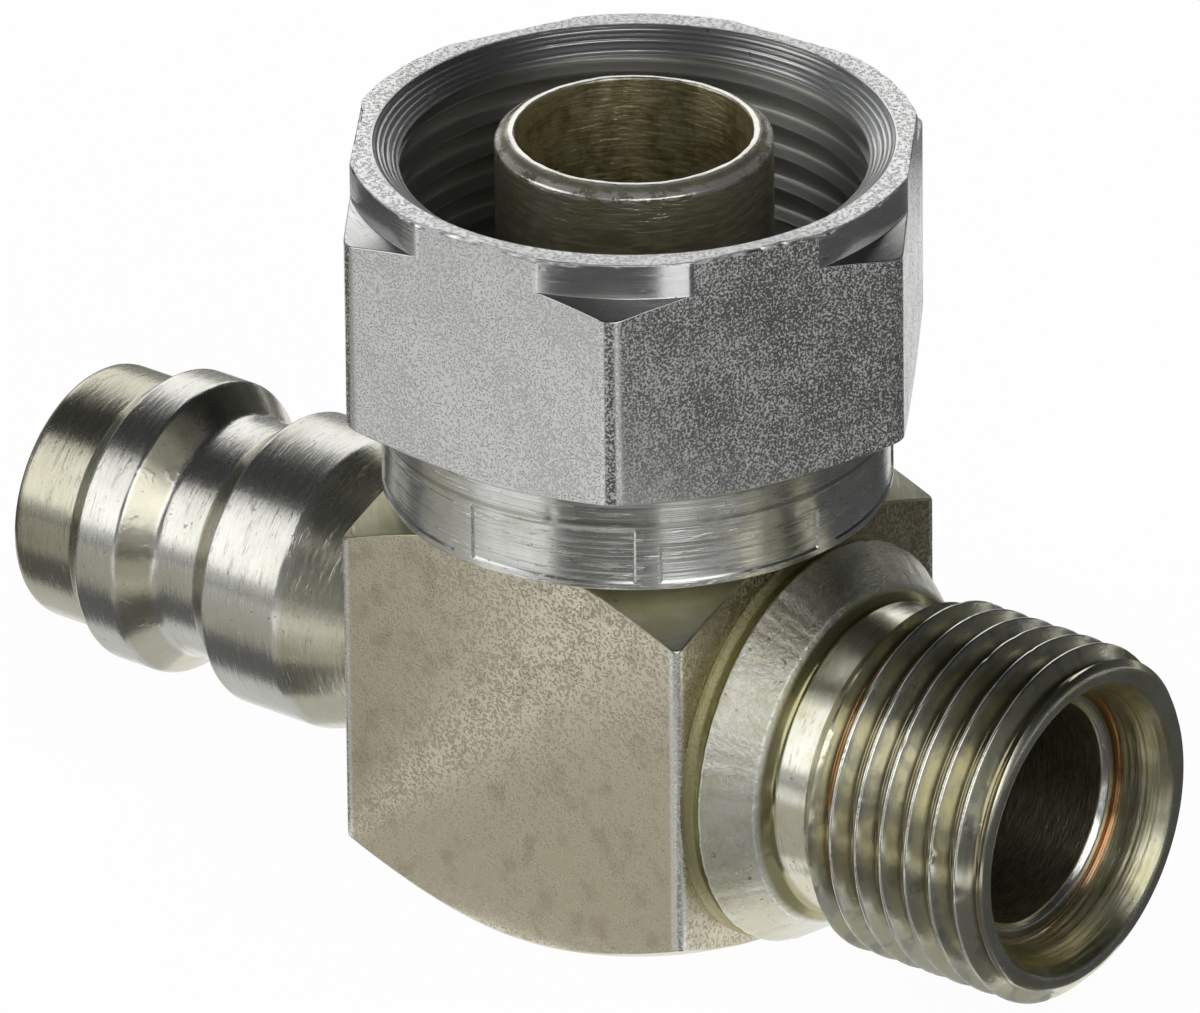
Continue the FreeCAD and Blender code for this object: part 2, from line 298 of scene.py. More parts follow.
PORT_SPIGOT = 5.98
PORT_BORE = 3.2
PORT_STEM = 6.7
RING_RADIUS = 8.0
GROOVE_RADIUS = 6.55
TIP_RADIUS = 6.95
PORT_END = -36.4
CAP_RADIUS = 4.32
CAP_END = -30.2
CORE_RADIUS = 3.46
CORE_END = -23.6
SEAT_RADIUS = 2.75
SEAT_START = -22.6
SEAT_END = -17.4


def cap_wall(along):
    """Wall of the cap thread's hole, with its countersink."""
    return np.interp(along, [PORT_END, -35.72, CAP_END], [5.0, CAP_RADIUS, CAP_RADIUS])


def core_wall(along):
    """Wall of the valve core's hole, with the cone that its gasket seals on."""
    places = [CAP_END, -29.8, CORE_END, SEAT_START]
    return np.interp(along, places, [3.85, CORE_RADIUS, CORE_RADIUS, SEAT_RADIUS])


def service_port():
    """Quick-coupler port: two rings with sloping shoulders, a tip, and the threads inside."""
    columns = even_columns(384)
    outside = rounded_rows([
        (-SPIGOT_START, PORT_BORE),
        (-SPIGOT_START, PORT_SPIGOT, 0.15),
        (-BAR_HALF, PORT_SPIGOT),
        (-BAR_HALF, 7.3, 0.05),
        (-11.6, PORT_STEM, 0.3),
        (-13.9, PORT_STEM, 0.4),
        (-18.15, RING_RADIUS, 0.12),
        (-22.78, RING_RADIUS, 0.1),
        (-24.48, GROOVE_RADIUS, 0.12),
        (-27.1, GROOVE_RADIUS, 0.25),
        (-28.8, RING_RADIUS, 0.15),
        (-31.25, RING_RADIUS, 0.1),
        (-32.47, TIP_RADIUS, 0.1),
        (PORT_END, TIP_RADIUS, 0.5),
        (PORT_END, 5.0, 0.08),
        (-36.32, 4.95),
    ], columns)
    cap = thread_rows(
        columns, -36.3, CAP_END, pitch=1.25, phase=-33.0,
        form=CAP_FORM, crest=CAP_RADIUS, wall=cap_wall, inward=True)
    step = rounded_rows([(CAP_END, CAP_RADIUS), (CAP_END, 3.9, 0.05), (-30.18, 3.86)], columns)
    core = thread_rows(
        columns, -30.17, CORE_END, pitch=0.8, phase=-27.0,
        form=CORE_FORM, crest=CORE_RADIUS, wall=core_wall, inward=True)
    inside = rounded_rows([
        (CORE_END, CORE_RADIUS),
        (SEAT_START, SEAT_RADIUS, 0.1),
        (SEAT_END, SEAT_RADIUS, 0.05),
        (SEAT_END, PORT_BORE, 0.05),
        (-SPIGOT_START, PORT_BORE),
    ], columns)
    return ring_mesh("port_shell", outside + cap + step + core + inside, columns, "X")


# Swivel nut

NUT_TURN = math.radians(3.3)
FLAT_RADIUS = 14.35
CORNER_ROUND = 1.25
CORNER_SPAN = 2.21
CONE = math.tan(math.radians(20))
RIM_RADIUS = 14.82
RIM_TOP = 42.05
RIM_FOOT = 40.15
MOUTH_TOP = (42.01, 13.46)
HEXAGON_FOOT = 28.0
COLLAR_RADIUS = 13.25
COLLAR_FOOT = 22.7
COLLAR_BORE = 9.0
FLANGE_ROOM = 11.2
NUT_THREAD_START = 31.25
NUT_THREAD_END = 40.95
NUT_THREAD_CREST = 12.1
NUT_THREAD_RELIEF = 12.95
NUT_PITCH = 1.814

# The eight crimping jaws: where the first gap between two lies, how high each one reached, the
# foot of their band, half the gap between two, and the width over which a mark's edge fades.
# Then the heights of the collar's rows, close together where the jaws' upper edges lie.
JAW_START = math.radians(-50)
JAW_TOPS = (25.3, 26.3, 25.7, 26.1, 25.5, 26.2, 26.0, 26.2)
JAW_COUNT = len(JAW_TOPS)
JAW_FOOT = 23.1
JAW_HALF_GAP = 0.6
JAW_EASE = 0.12
COLLAR_HEIGHTS = (
    [27.8, 27.2, 26.7] + list(np.arange(26.45, 25.1, -0.06)) + [24.6, 23.7, 23.3, 23.2, 23.14, 23.1, 23.05]
)


def nut_columns():
    """Even columns with exact ones at the flats' ends, round the corners and at the jaws' edges."""
    rim_end = math.degrees(math.acos(FLAT_RADIUS / RIM_RADIUS))
    exact = [0.0, rim_end, -rim_end]
    for part in np.linspace(0, CORNER_SPAN, 6):
        exact += [30 - part, part - 30]
    angles = list(np.arange(0, 360, 0.6))
    for flat in range(6):
        angles += [30 + 60 * flat + e for e in exact]
    for jaw in range(JAW_COUNT):
        gap = math.degrees(JAW_START - NUT_TURN) + 360 / JAW_COUNT * jaw
        for part in (0.5, 0.6, 0.64, 0.68, 0.72, 0.82):
            edge = math.degrees(part / COLLAR_RADIUS)
            angles += [gap + edge, gap - edge]
    return merged_columns(np.radians(np.array(angles)) + NUT_TURN)


def hexagon(columns):
    """Distance of the hexagon's wall from the axis, with rounded corners."""
    from_corner = np.mod(columns - NUT_TURN + TURN / 12, TURN / 6) - TURN / 12
    flat = FLAT_RADIUS / np.cos(TURN / 12 - np.abs(from_corner))
    middle = (FLAT_RADIUS - CORNER_ROUND) / math.cos(TURN / 12)
    chord = np.maximum(CORNER_ROUND ** 2 - (middle * np.sin(from_corner)) ** 2, 0)
    arc = middle * np.cos(from_corner) + np.sqrt(chord)
    return np.where(np.abs(from_corner) < math.radians(CORNER_SPAN), arc, flat)


def nut_wall(along):
    """Wall of the nut's socket, with the lead at each end of the thread."""
    places = [NUT_THREAD_START, 32.1, NUT_THREAD_END, 41.4]
    return np.interp(along, places, [NUT_THREAD_RELIEF, NUT_THREAD_CREST, NUT_THREAD_CREST, 12.6])


def jaw_press(columns, z):
    """Depth that the eight crimping jaws pressed into the collar."""
    from_gap = np.angle(np.exp(1j * JAW_COUNT * (columns - JAW_START))) / JAW_COUNT * COLLAR_RADIUS
    in_jaw = np.clip((np.abs(from_gap) - JAW_HALF_GAP) / JAW_EASE, 0, 1)
    jaw = np.floor(np.mod(columns - JAW_START, TURN) / (TURN / JAW_COUNT)).astype(int) % JAW_COUNT
    top = np.array(JAW_TOPS)[jaw]
    uneven = 0.11 + 0.03 * np.sin(3 * columns + 1.0)
    band = np.clip((z - JAW_FOOT) / JAW_EASE, 0, 1) * np.clip((top - z) / JAW_EASE, 0, 1)
    return uneven * in_jaw * band


def mouth_rows(columns):
    """Cone of the nut's mouth from the thread up to the rim, with the ridges that the tool left."""
    cone = [(NUT_THREAD_END, NUT_THREAD_CREST), MOUTH_TOP]
    rows = tooled_rows(cone, 80, columns, seed=23, size=0.013)
    for i, row in enumerate(rows):
        share = i / (len(rows) - 1)
        ridge = 0.011 * math.cos(TURN * share * 5.5) * min(1, 4 * share) * min(1, 6 * (1 - share))
        row[0] += ridge * 0.7
        row[1] -= ridge * 0.7
    return rows


def swivel_nut():
    """Hexagon nut with a turned rim, a threaded socket and a crimped collar."""
    columns = nut_columns()
    wall = hexagon(columns)
    rim = np.minimum(RIM_RADIUS, wall)
    corner_top = RIM_FOOT - (wall - rim) * CONE
    corner_bottom = HEXAGON_FOOT + (wall - COLLAR_RADIUS) * CONE
    outside = rounded_rows([
        MOUTH_TOP,
        (RIM_TOP, 13.62, 0.04),
        (RIM_TOP, rim, 0.1),
        (41.88, rim),
        (41.78, rim),
        (RIM_FOOT, rim, 0.05),
        (corner_top, wall, 0.06),
        (corner_bottom, wall, 0.08),
        (HEXAGON_FOOT, COLLAR_RADIUS, 0.1),
    ], columns)
    for row in outside:
        worn = nicks(row[0], columns, seed=32, count=90, reach=0.3, depth=0.05, along_range=(42.0, 42.1))
        row[1] -= worn * (row[1] > 14.3) * (row[0] > 41.93)
    collar = []
    for z in COLLAR_HEIGHTS:
        worn = nicks(z, columns, seed=31, count=60, reach=0.25, depth=0.03, along_range=(22.8, 27.0))
        collar.append(np.array([np.full(len(columns), z), COLLAR_RADIUS - jaw_press(columns, z) - worn]))
    lip = rounded_rows([
        (23.02, COLLAR_RADIUS),
        (COLLAR_FOOT, COLLAR_RADIUS, 0.3),
        (COLLAR_FOOT, COLLAR_BORE, 0.15),
        (24.2, COLLAR_BORE, 0.1),
        (24.2, FLANGE_ROOM, 0.3),
        (29.25, FLANGE_ROOM, 0.08),
        (29.25, NUT_THREAD_RELIEF, 0.2),
        (NUT_THREAD_START, NUT_THREAD_RELIEF),
    ], columns)
    thread = thread_rows(
        columns, NUT_THREAD_START, NUT_THREAD_END, NUT_PITCH, phase=33.0,
        form=NUT_FORM, crest=NUT_THREAD_CREST, wall=nut_wall, inward=True)
    return ring_mesh("nut_shell", outside + collar + lip + thread + mouth_rows(columns), columns, "Z")


# Block

END_SLOPE = math.tan(math.radians(30))
FOOT_RADIUS = 10.5
TOP_RADIUS = 11.55
BLOCK_TOP = 22.4
SHANK_RADIUS = 8.7
FLANGE_RADIUS = 10.9
FLANGE_FOOT = 24.5
FLANGE_TOP = 27.85
SEAL_GROOVE_RADIUS = 6.9
SEAL_GROOVE_TOP = 30.45
TUBE_RADIUS = 7.2
TUBE_BORE = 6.15
TUBE_TOP = 42.6
DRILL_RADIUS = 5.6
DRILL_START = 19.0

# Marks of the drawing die on the side that faces -Y: places along X, and how deep they are
DIE_MARKS = ((5.95, 1.0), (7.25, 0.8))


def block_columns():
    """Even columns with more round the bar's corners and over the drawing marks."""
    angles = list(np.arange(0, 360, 0.75))
    for corner in range(4):
        angles += list(45 + 90 * corner + np.linspace(-1.08, 1.08, 11))
    for start, end in ((5.7, 6.2), (7.0, 7.5)):
        angles += [270 + math.degrees(math.atan2(x, BAR_HALF)) for x in np.linspace(start, end, 6)]
    return merged_columns(np.radians(np.array(angles)))


def bar_wall(columns):
    """Distance of the square bar's wall from the axis, with its rounded corners and drawing marks."""
    off = np.abs(np.mod(columns + TURN / 8, TURN / 4) - TURN / 8)
    wall = BAR_HALF / np.cos(off)
    middle = (BAR_HALF - BAR_EASE) * math.sqrt(2)
    turn = off - TURN / 8
    arc = middle * np.cos(turn) + np.sqrt(np.maximum(BAR_EASE ** 2 - (middle * np.sin(turn)) ** 2, 0))
    tangent = math.atan2(BAR_HALF - BAR_EASE, BAR_HALF)
    wall = np.where(off > tangent, arc, wall)
    side = np.mod(columns - 1.5 * math.pi + math.pi, TURN) - math.pi
    x = BAR_HALF * np.tan(np.clip(side, -0.8, 0.8))
    marks = sum(depth * np.exp(-((x - place) / 0.1) ** 2) for place, depth in DIE_MARKS)
    return wall - 0.014 * marks * (np.abs(side) < 0.75)


def body_block():
    """Block turned at both ends, with the flanged spigot, the pilot tube and all passages."""
    columns = block_columns()
    wall = bar_wall(columns)
    top = np.minimum(TOP_RADIUS, wall)
    uneven_top = TUBE_TOP + 0.05 * ripple(columns, 3, (2, 5, 9, 17, 31)) - 0.05
    burr = 0.08 * np.clip(ripple(columns, 12, (3, 7, 13, 23, 37)), 0, 1)
    dents = 0.03 * np.clip(ripple(columns, 14, (4, 9, 15, 27, 41)), 0, 1)
    rows = rounded_rows([
        (0, 0),
        (0, 5.0),
        (0, FOOT_RADIUS, 0.12),
        ((wall - FOOT_RADIUS) * END_SLOPE, wall, 0.1),
        (BLOCK_TOP - (wall - top) * END_SLOPE, wall, 0.1),
        (BLOCK_TOP, top, 0.08),
        (BLOCK_TOP, SHANK_RADIUS, 0.1),
        (FLANGE_FOOT, SHANK_RADIUS, 0.1),
        (FLANGE_FOOT, FLANGE_RADIUS, 0.3),
        (FLANGE_TOP, FLANGE_RADIUS, 0.3),
        (FLANGE_TOP, SEAL_GROOVE_RADIUS, 0.1),
        (SEAL_GROOVE_TOP, SEAL_GROOVE_RADIUS, 0.1),
        (SEAL_GROOVE_TOP, TUBE_RADIUS, 0.1),
        (36.0, TUBE_RADIUS),
        (42.05, TUBE_RADIUS - dents, 0.1),
        (uneven_top, 6.44, 0.08),
        (uneven_top, 6.2 + burr, 0.03),
        (42.45, TUBE_BORE, 0.03),
        (36.0, TUBE_BORE),
        (DRILL_START, TUBE_BORE, 0.05),
        (DRILL_START, DRILL_RADIUS, 0.05),
        (6.4, DRILL_RADIUS, 0.05),
        (3.04, 0),
    ], columns)
    block = ring_mesh("block_shell", rows, columns, "Z")
    return cut_away(block, side_passages())


def side_passages():
    """Solid in the form of both side passages and their counterbores."""
    columns = even_columns(128)
    outer_end = BAR_HALF + 1
    rows = rounded_rows([
        (-outer_end, 0),
        (-outer_end, 6.0),
        (-COUNTERBORE_FLOOR, 6.0),
        (-COUNTERBORE_FLOOR, 2.6),
        (0, 2.6),
        (0, 5.2),
        (COUNTERBORE_FLOOR, 5.2),
        (COUNTERBORE_FLOOR, 7.5),
        (outer_end, 7.5),
        (outer_end, 0),
    ], columns)
    return ring_mesh("block_cutter", rows, columns, "X")


def cut_away(piece, cutter):
    """Takes the cutter's volume out of the piece and removes the cutter."""
    step = piece.modifiers.new("passages", "BOOLEAN")
    step.operation = "DIFFERENCE"
    step.solver = "EXACT"
    step.object = cutter
    bpy.context.view_layer.update()
    cut = bpy.data.meshes.new_from_object(piece.evaluated_get(bpy.context.evaluated_depsgraph_get()))
    piece.modifiers.clear()
    piece.data = cut
    bpy.data.objects.remove(cutter)
    return piece


# Node graphs

class Graph:
    """Short way to add shader nodes to a material or a world, and to join them."""

    def __init__(self, owner):
        self.owner = owner
        owner.use_nodes = True
        self.tree = owner.node_tree
        self.tree.nodes.clear()

    def node(self, kind, inputs=None, **settings):
        made = self.tree.nodes.new("ShaderNode" + kind)
        for key, value in settings.items():
            setattr(made, key, value)
        for key, value in (inputs or {}).items():
            self.feed(made.inputs[key], value)
        return made

    def feed(self, socket, value):
        if isinstance(value, bpy.types.NodeSocket):
            self.tree.links.new(value, socket)
        else:
            socket.default_value = value

    def math(self, operation, a, b, clamp=False):
        return self.node("Math", {0: a, 1: b}, operation=operation, use_clamp=clamp).outputs[0]

    def plus(self, a, b):
        return self.math("ADD", a, b)

    def times(self, a, b):
        return self.math("MULTIPLY", a, b)

    def larger(self, a, b):
        return self.math("MAXIMUM", a, b)

    def vector(self, operation, a, b=(0, 0, 0)):
        made = self.node("VectorMath", {0: a, 1: b}, operation=operation)
        return made.outputs["Value" if operation in ("LENGTH", "DOT_PRODUCT") else "Vector"]

    def combine(self, x, y, z):
        return self.node("CombineXYZ", {0: x, 1: y, 2: z}).outputs[0]

    def split(self, vector):
        return self.node("SeparateXYZ", {0: vector}).outputs

    def noise(self, vector, scale, detail=2.0, roughness=0.5):
        inputs = {"Vector": vector, "Scale": scale, "Detail": detail, "Roughness": roughness}
        return self.node("TexNoise", inputs).outputs[0]

    def step(self, value, low, high, start=0.0, end=1.0):
        """Smooth step from start to end while the value goes from low to high."""
        inputs = {0: value, 1: low, 2: high, 3: start, 4: end}
        return self.node("MapRange", inputs, interpolation_type="SMOOTHSTEP").outputs[0]

    def band(self, value, start, end, ease):
        """1 between start and end, with soft edges."""
        rise = self.step(value, start - ease, start + ease)
        fall = self.step(value, end - ease, end + ease, 1.0, 0.0)
        return self.times(rise, fall)

    def mix(self, factor, a, b):
        made = self.node("Mix", data_type="RGBA")
        self.feed(made.inputs["Factor"], factor)
        self.feed(made.inputs[6], a)
        self.feed(made.inputs[7], b)
        return made.outputs[2]

    def bump(self, height, distance):
        return self.node("Bump", {"Height": height, "Distance": distance, "Strength": 1.0}).outputs[0]

    def finish(self, shader, output="OutputMaterial"):
        self.node(output, {"Surface": shader})
        return self.owner


def material_graph(name):
    return Graph(bpy.data.materials.new(name))


def color(red, green, blue):
    return (red, green, blue, 1.0)


# Zinc finishes

# Colour of a painted highlight on the thread's crests.
PAINTED_HIGHLIGHT = color(0.86, 0.85, 0.79)
# Colour of painted shade in the corner under the nut's hexagon.
PAINTED_SHADE = color(0.10, 0.09, 0.07)


def object_place(graph):
    """Place on the object in millimetres."""
    return graph.vector("MULTIPLY", graph.node("TexCoord").outputs["Object"], (1000, 1000, 1000))


def turned_place(graph, axis):
    """Place in millimetres: the vector, the distances along and from the axis, and the direction round it."""
    place = object_place(graph)
    if axis == "X":
        place = graph.vector("SUBTRACT", place, (0, 0, AXIS_HEIGHT))
    x, y, z = graph.split(place)
    along, u, v = (x, y, z) if axis == "X" else (z, x, y)
    spoke = graph.combine(u, v, 0.0)
    return place, along, graph.vector("LENGTH", spoke), graph.vector("NORMALIZE", spoke)


def rings(graph, along, radius, direction, fineness, spread, detail=2.0):
    """Noise that changes quickly across turning marks and slowly round them."""
    u, v = graph.split(direction)[:2]
    across = graph.times(graph.plus(along, graph.times(radius, 0.9)), fineness)
    vector = graph.combine(across, graph.times(u, spread), graph.times(v, spread))
    return graph.noise(vector, 1.0, detail, 0.6)


def tint(graph, surface, where, tone, share=1.0):
    """Mixes a colour into the surface where the mask says."""
    if share != 1.0:
        where = graph.times(where, share)
    surface["base"] = graph.mix(where, surface["base"], tone)


def add(graph, surface, part, where, amount):
    """Adds to the surface's roughness, height or metal share where the mask says."""
    surface[part] = graph.plus(surface[part], graph.times(where, amount))


def metal(graph, surface, depth, anisotropy=0.0, axis="Z"):
    """Bare plated metal. Turned surfaces stretch their gloss across the turning marks."""
    shader = graph.node("BsdfPrincipled", {
        "Base Color": surface["base"],
        "Metallic": surface["metal"],
        "Roughness": surface["rough"],
        "Normal": graph.bump(surface["height"], depth),
    })
    shader.inputs["Anisotropic"].default_value = anisotropy
    if anisotropy:
        shader.inputs["Anisotropic Rotation"].default_value = 0.25
        tangent = graph.node("Tangent", direction_type="RADIAL", axis=axis)
        graph.feed(shader.inputs["Tangent"], tangent.outputs[0])
    return graph.finish(shader.outputs[0])


def turned_zinc(
        name, axis, light, stain, stain_share, roughness, depth, marks=None, fineness=6.0, spread=2.2):
    """Zinc-plated turned steel: fine rings from the lathe, scratches, and a stain that gathers in places."""
    graph = material_graph(name)
    place, along, radius, direction = turned_place(graph, axis)
    fine = rings(graph, along, radius, direction, fineness, spread)
    broad = rings(graph, along, radius, direction, 1.7, 1.0)
    lines = graph.step(rings(graph, along, radius, direction, 3.6, 4.5, 3.0), 0.58, 0.68)
    height = graph.plus(graph.plus(fine, graph.times(broad, 0.7)), graph.times(lines, 0.5))
    cloud = graph.noise(place, 0.25, 4.0, 0.6)
    share = graph.step(cloud, 0.38, 0.62, 0.1 * stain_share, stain_share)
    share = graph.math("ADD", share, graph.times(fine, 0.3 * stain_share), clamp=True)
    rough = graph.plus(graph.times(fine, 0.16), roughness - 0.06)
    surface = {"base": graph.mix(share, light, stain), "rough": rough, "height": height, "metal": 1.0}
    dots = graph.step(graph.noise(place, 2.6, 2.0, 0.7), 0.69, 0.74)
    tint(graph, surface, dots, color(0.12, 0.09, 0.05), 0.6)
    add(graph, surface, "rough", cloud, 0.08)
    if marks:
        marks(graph, surface, place, along, radius)
    return metal(graph, surface, depth, 0.5, axis)


def grainy_zinc(name, light, dark, cover, grain_share, smooth, fineness, depth, chalk, marks=None):
    """Zinc over drawn bar: smooth between grains of a fifth of a millimetre, which scatter the light."""
    graph = material_graph(name)
    place, along, radius, _ = turned_place(graph, "Z")
    grain = graph.noise(place, fineness, 3.0, 0.6)
    cloud = graph.noise(place, 0.3, 4.0, 0.6)
    level = graph.plus(grain, graph.times(graph.math("SUBTRACT", cloud, 0.5), 0.2))
    grains = graph.step(level, cover - 0.06, cover + 0.06)
    surface = {
        "base": graph.mix(graph.times(grains, grain_share), light, dark),
        "rough": graph.plus(graph.times(grains, 0.22), smooth),
        "height": graph.times(grains, graph.plus(graph.noise(place, 14.0, 2.0), 0.3)),
        "metal": graph.math("SUBTRACT", 1.0, graph.times(grains, chalk)),
    }
    flaws = graph.step(graph.noise(place, 1.5, 3.0, 0.7), 0.72, 0.75)
    tint(graph, surface, flaws, color(0.10, 0.07, 0.04), 0.8)
    add(graph, surface, "rough", cloud, 0.04)
    if marks:
        marks(graph, surface, place, along, radius)
    return metal(graph, surface, depth)


# Marks on the zinc

def drilled(graph, surface, place, radius, bore, share):
    """Rougher walls inside a bore along X, painted darker with olive scratches and painted shade."""
    inside = graph.step(radius, bore + 0.06, bore - 0.02)
    scratch = graph.noise(graph.vector("MULTIPLY", place, (9.0, 1.3, 1.3)), 1.0, 4.0, 0.7)
    # Dark olive mix inside the bore: olive scratches with painted shade.
    olive = graph.mix(graph.step(scratch, 0.35, 0.65), color(0.60, 0.56, 0.42), color(0.20, 0.17, 0.11))
    tint(graph, surface, inside, olive, share)
    add(graph, surface, "rough", inside, 0.12)
    add(graph, surface, "height", inside, graph.times(scratch, 3.0))


def block_marks(graph, surface, place, along, radius):
    """Olive pilot tube with a lip painted light as a painted highlight on worn metal, and a shelf under the
    nut's collar painted olive and darker as painted shade.
    """
    inside = graph.step(radius, 6.22, 6.14)
    spoke = graph.vector("NORMALIZE", graph.vector("MULTIPLY", place, (1, 1, 0)))
    marks = rings(graph, along, radius, spoke, 3.2, 5.0, 4.0)
    scratch = graph.step(marks, 0.4, 0.65)
    stain = graph.step(graph.noise(place, 0.75, 5.0, 0.7), 0.4, 0.65)
    gold = graph.mix(stain, color(0.66, 0.60, 0.36), color(0.36, 0.30, 0.15))
    tint(graph, surface, inside, gold)
    add(graph, surface, "height", inside, graph.times(marks, 5.0))
    add(graph, surface, "rough", inside, 0.14)
    add(graph, surface, "metal", inside, -0.12)
    tube = graph.times(graph.step(along, 29.0, 30.5), graph.step(radius, 6.3, 6.5))
    add(graph, surface, "height", tube, scratch)
    olive = graph.mix(scratch, color(0.42, 0.39, 0.26), color(0.66, 0.62, 0.40))
    tint(graph, surface, tube, olive, 0.7)
    add(graph, surface, "metal", tube, -0.12)
    # Lip and chamfer edge painted light: a painted highlight on worn metal.
    worn = graph.times(graph.band(along, 41.82, 42.28, 0.07), graph.step(stain, 0.8, 0.5))
    top = graph.times(graph.step(along, 42.42, 42.5), graph.step(stain, 1.0, 0.5, 0.35, 1.0))
    lip = graph.larger(graph.times(worn, tube), top)
    tint(graph, surface, lip, color(0.86, 0.84, 0.77))
    add(graph, surface, "rough", lip, 0.1)
    # Shelf under the nut's collar painted olive and darker: painted shade.
    shelf = graph.band(along, 20.5, 24.5, 0.6)
    tint(graph, surface, shelf, color(0.50, 0.47, 0.26), 0.5)
    add(graph, surface, "rough", shelf, 0.12)


def nut_marks(graph, surface, place, along, radius):
    """Rim painted light as a painted highlight, with specks; a thread inside painted darker as painted shade
    and made rougher; and a rougher mouth.
    """
    # Thread inside the nut painted darker: painted shade, and rougher.
    thread = graph.times(graph.step(along, 41.1, 40.9), graph.step(radius, 13.0, 12.9))
    tint(graph, surface, thread, color(0.42, 0.41, 0.37), 0.7)
    add(graph, surface, "rough", thread, 0.24)
    rim = graph.times(graph.step(along, 41.95, 42.02), graph.step(radius, 13.5, 13.6))
    specks = graph.times(rim, graph.step(graph.noise(place, 4.5, 4.0, 0.7), 0.5, 0.6))
    # Rim top painted light: a painted highlight.
    tint(graph, surface, rim, color(0.88, 0.88, 0.87), 0.7)
    tint(graph, surface, specks, color(0.40, 0.40, 0.39), 0.45)
    add(graph, surface, "rough", rim, 0.14)
    add(graph, surface, "height", specks, 1.2)
    mouth = graph.times(graph.step(radius, 13.6, 13.5), graph.step(along, 40.9, 41.1))
    add(graph, surface, "rough", mouth, 0.08)


def flat_marks(graph, surface, place, along, radius):
    """Olive side behind the connector, brown stains, and the bar's edges painted light as a painted
    highlight.
    """
    x, y = graph.split(place)[:2]
    east = graph.times(graph.step(x, 10.6, 10.95), graph.step(y, -9.0, 2.0, 0.15, 0.7))
    tint(graph, surface, east, color(0.42, 0.38, 0.22))
    stain = graph.step(graph.noise(place, 0.7, 3.0), 0.5, 0.7)
    tint(graph, surface, stain, color(0.33, 0.26, 0.18), 0.3)
    # Edges of the bar painted light: a painted highlight.
    tint(graph, surface, graph.step(radius, 15.1, 15.25), color(0.86, 0.85, 0.80))


def collar_marks(graph, surface, place, along, radius):
    """Painted shade in the corner under the hexagon, and a painted shadow along the step above the jaws'
    marks.
    """
    corner = graph.times(graph.step(along, 27.6, 27.9), graph.step(radius, 13.7, 13.4))
    # Corner under the hexagon painted dark: painted shade.
    tint(graph, surface, corner, PAINTED_SHADE, 0.8)
    # Step above the jaws' marks painted dark: a painted shadow.
    tint(graph, surface, graph.band(along, 26.35, 26.6, 0.06), color(0.2, 0.19, 0.15), 0.5)


def boss_marks(graph, surface, place, along, radius):
    """Sandy boss with pits, edges painted bright as a painted highlight broken up like wear, and olive stain
    at its foot and in the neck's groove.
    """
    boss = graph.times(graph.step(along, 14.9, 14.5), graph.step(radius, 8.6, 9.0))
    sand = graph.noise(place, 3.6, 5.0, 0.75)
    add(graph, surface, "height", boss, graph.times(sand, 5.5))
    add(graph, surface, "rough", boss, 0.03)
    pits = graph.times(boss, graph.step(graph.noise(place, 2.2, 3.0, 0.7), 0.64, 0.7))
    tint(graph, surface, pits, color(0.22, 0.19, 0.12), 0.6)
    broken = graph.step(graph.noise(place, 3.0, 3.0, 0.6), 0.35, 0.5)
    back = graph.times(graph.band(along, 12.0, 12.16, 0.05), graph.step(radius, 10.66, 10.72))
    front = graph.times(graph.band(along, 14.36, 14.46, 0.04), graph.step(radius, 9.05, 9.12))
    # Boss edges painted bright: a painted highlight, broken up where worn.
    tint(graph, surface, graph.times(graph.larger(back, front), broken), color(0.88, 0.87, 0.80))
    foot = graph.step(along, BOSS_CREST, 11.9)
    groove = graph.band(along, 14.6, 15.2, 0.1)
    olive = graph.times(graph.larger(foot, groove), graph.step(radius, 8.0, 8.2))
    tint(graph, surface, olive, color(0.34, 0.31, 0.13), 0.85)


def outer_thread_marks(graph, surface, place, along, radius):
    """Crests painted bright as a painted highlight broken up like wear, olive and grey flanks, roots painted
    dark as olive stain with painted shade, and rust in the first root.
    """
    outside = graph.times(graph.band(along, 17.4, 28.6, 0.2), graph.step(radius, 8.1, 8.3))
    flank = graph.times(outside, graph.step(radius, 9.45, 9.3))
    tint(graph, surface, flank, color(0.62, 0.58, 0.37), 0.4)
    blotch = graph.times(outside, graph.step(graph.noise(place, 0.55, 3.0, 0.6), 0.5, 0.62))
    tint(graph, surface, blotch, color(0.40, 0.40, 0.37), 0.6)
    # Roots painted dark olive: olive stain with painted shade in the grooves.
    root = graph.times(outside, graph.step(radius, 8.85, 8.6))
    tint(graph, surface, root, color(0.20, 0.16, 0.06), 0.7)
    # Crests painted bright: a painted highlight, broken up where the zinc is worn.
    crest = graph.times(outside, graph.step(radius, 9.44, 9.5))
    worn = graph.step(graph.noise(place, 3.2, 3.0, 0.7), 0.4, 0.55, 0.25, 1.0)
    tint(graph, surface, graph.times(crest, worn), PAINTED_HIGHLIGHT)
    patchy = graph.step(graph.noise(place, 0.5, 2.0), 0.35, 0.6, 0.25, 1.0)
    first = graph.times(graph.band(along, 18.3, 19.3, 0.15), graph.step(radius, 8.72, 8.6))
    rust = graph.times(graph.times(first, outside), patchy)
    tint(graph, surface, rust, color(0.38, 0.19, 0.07), 0.8)


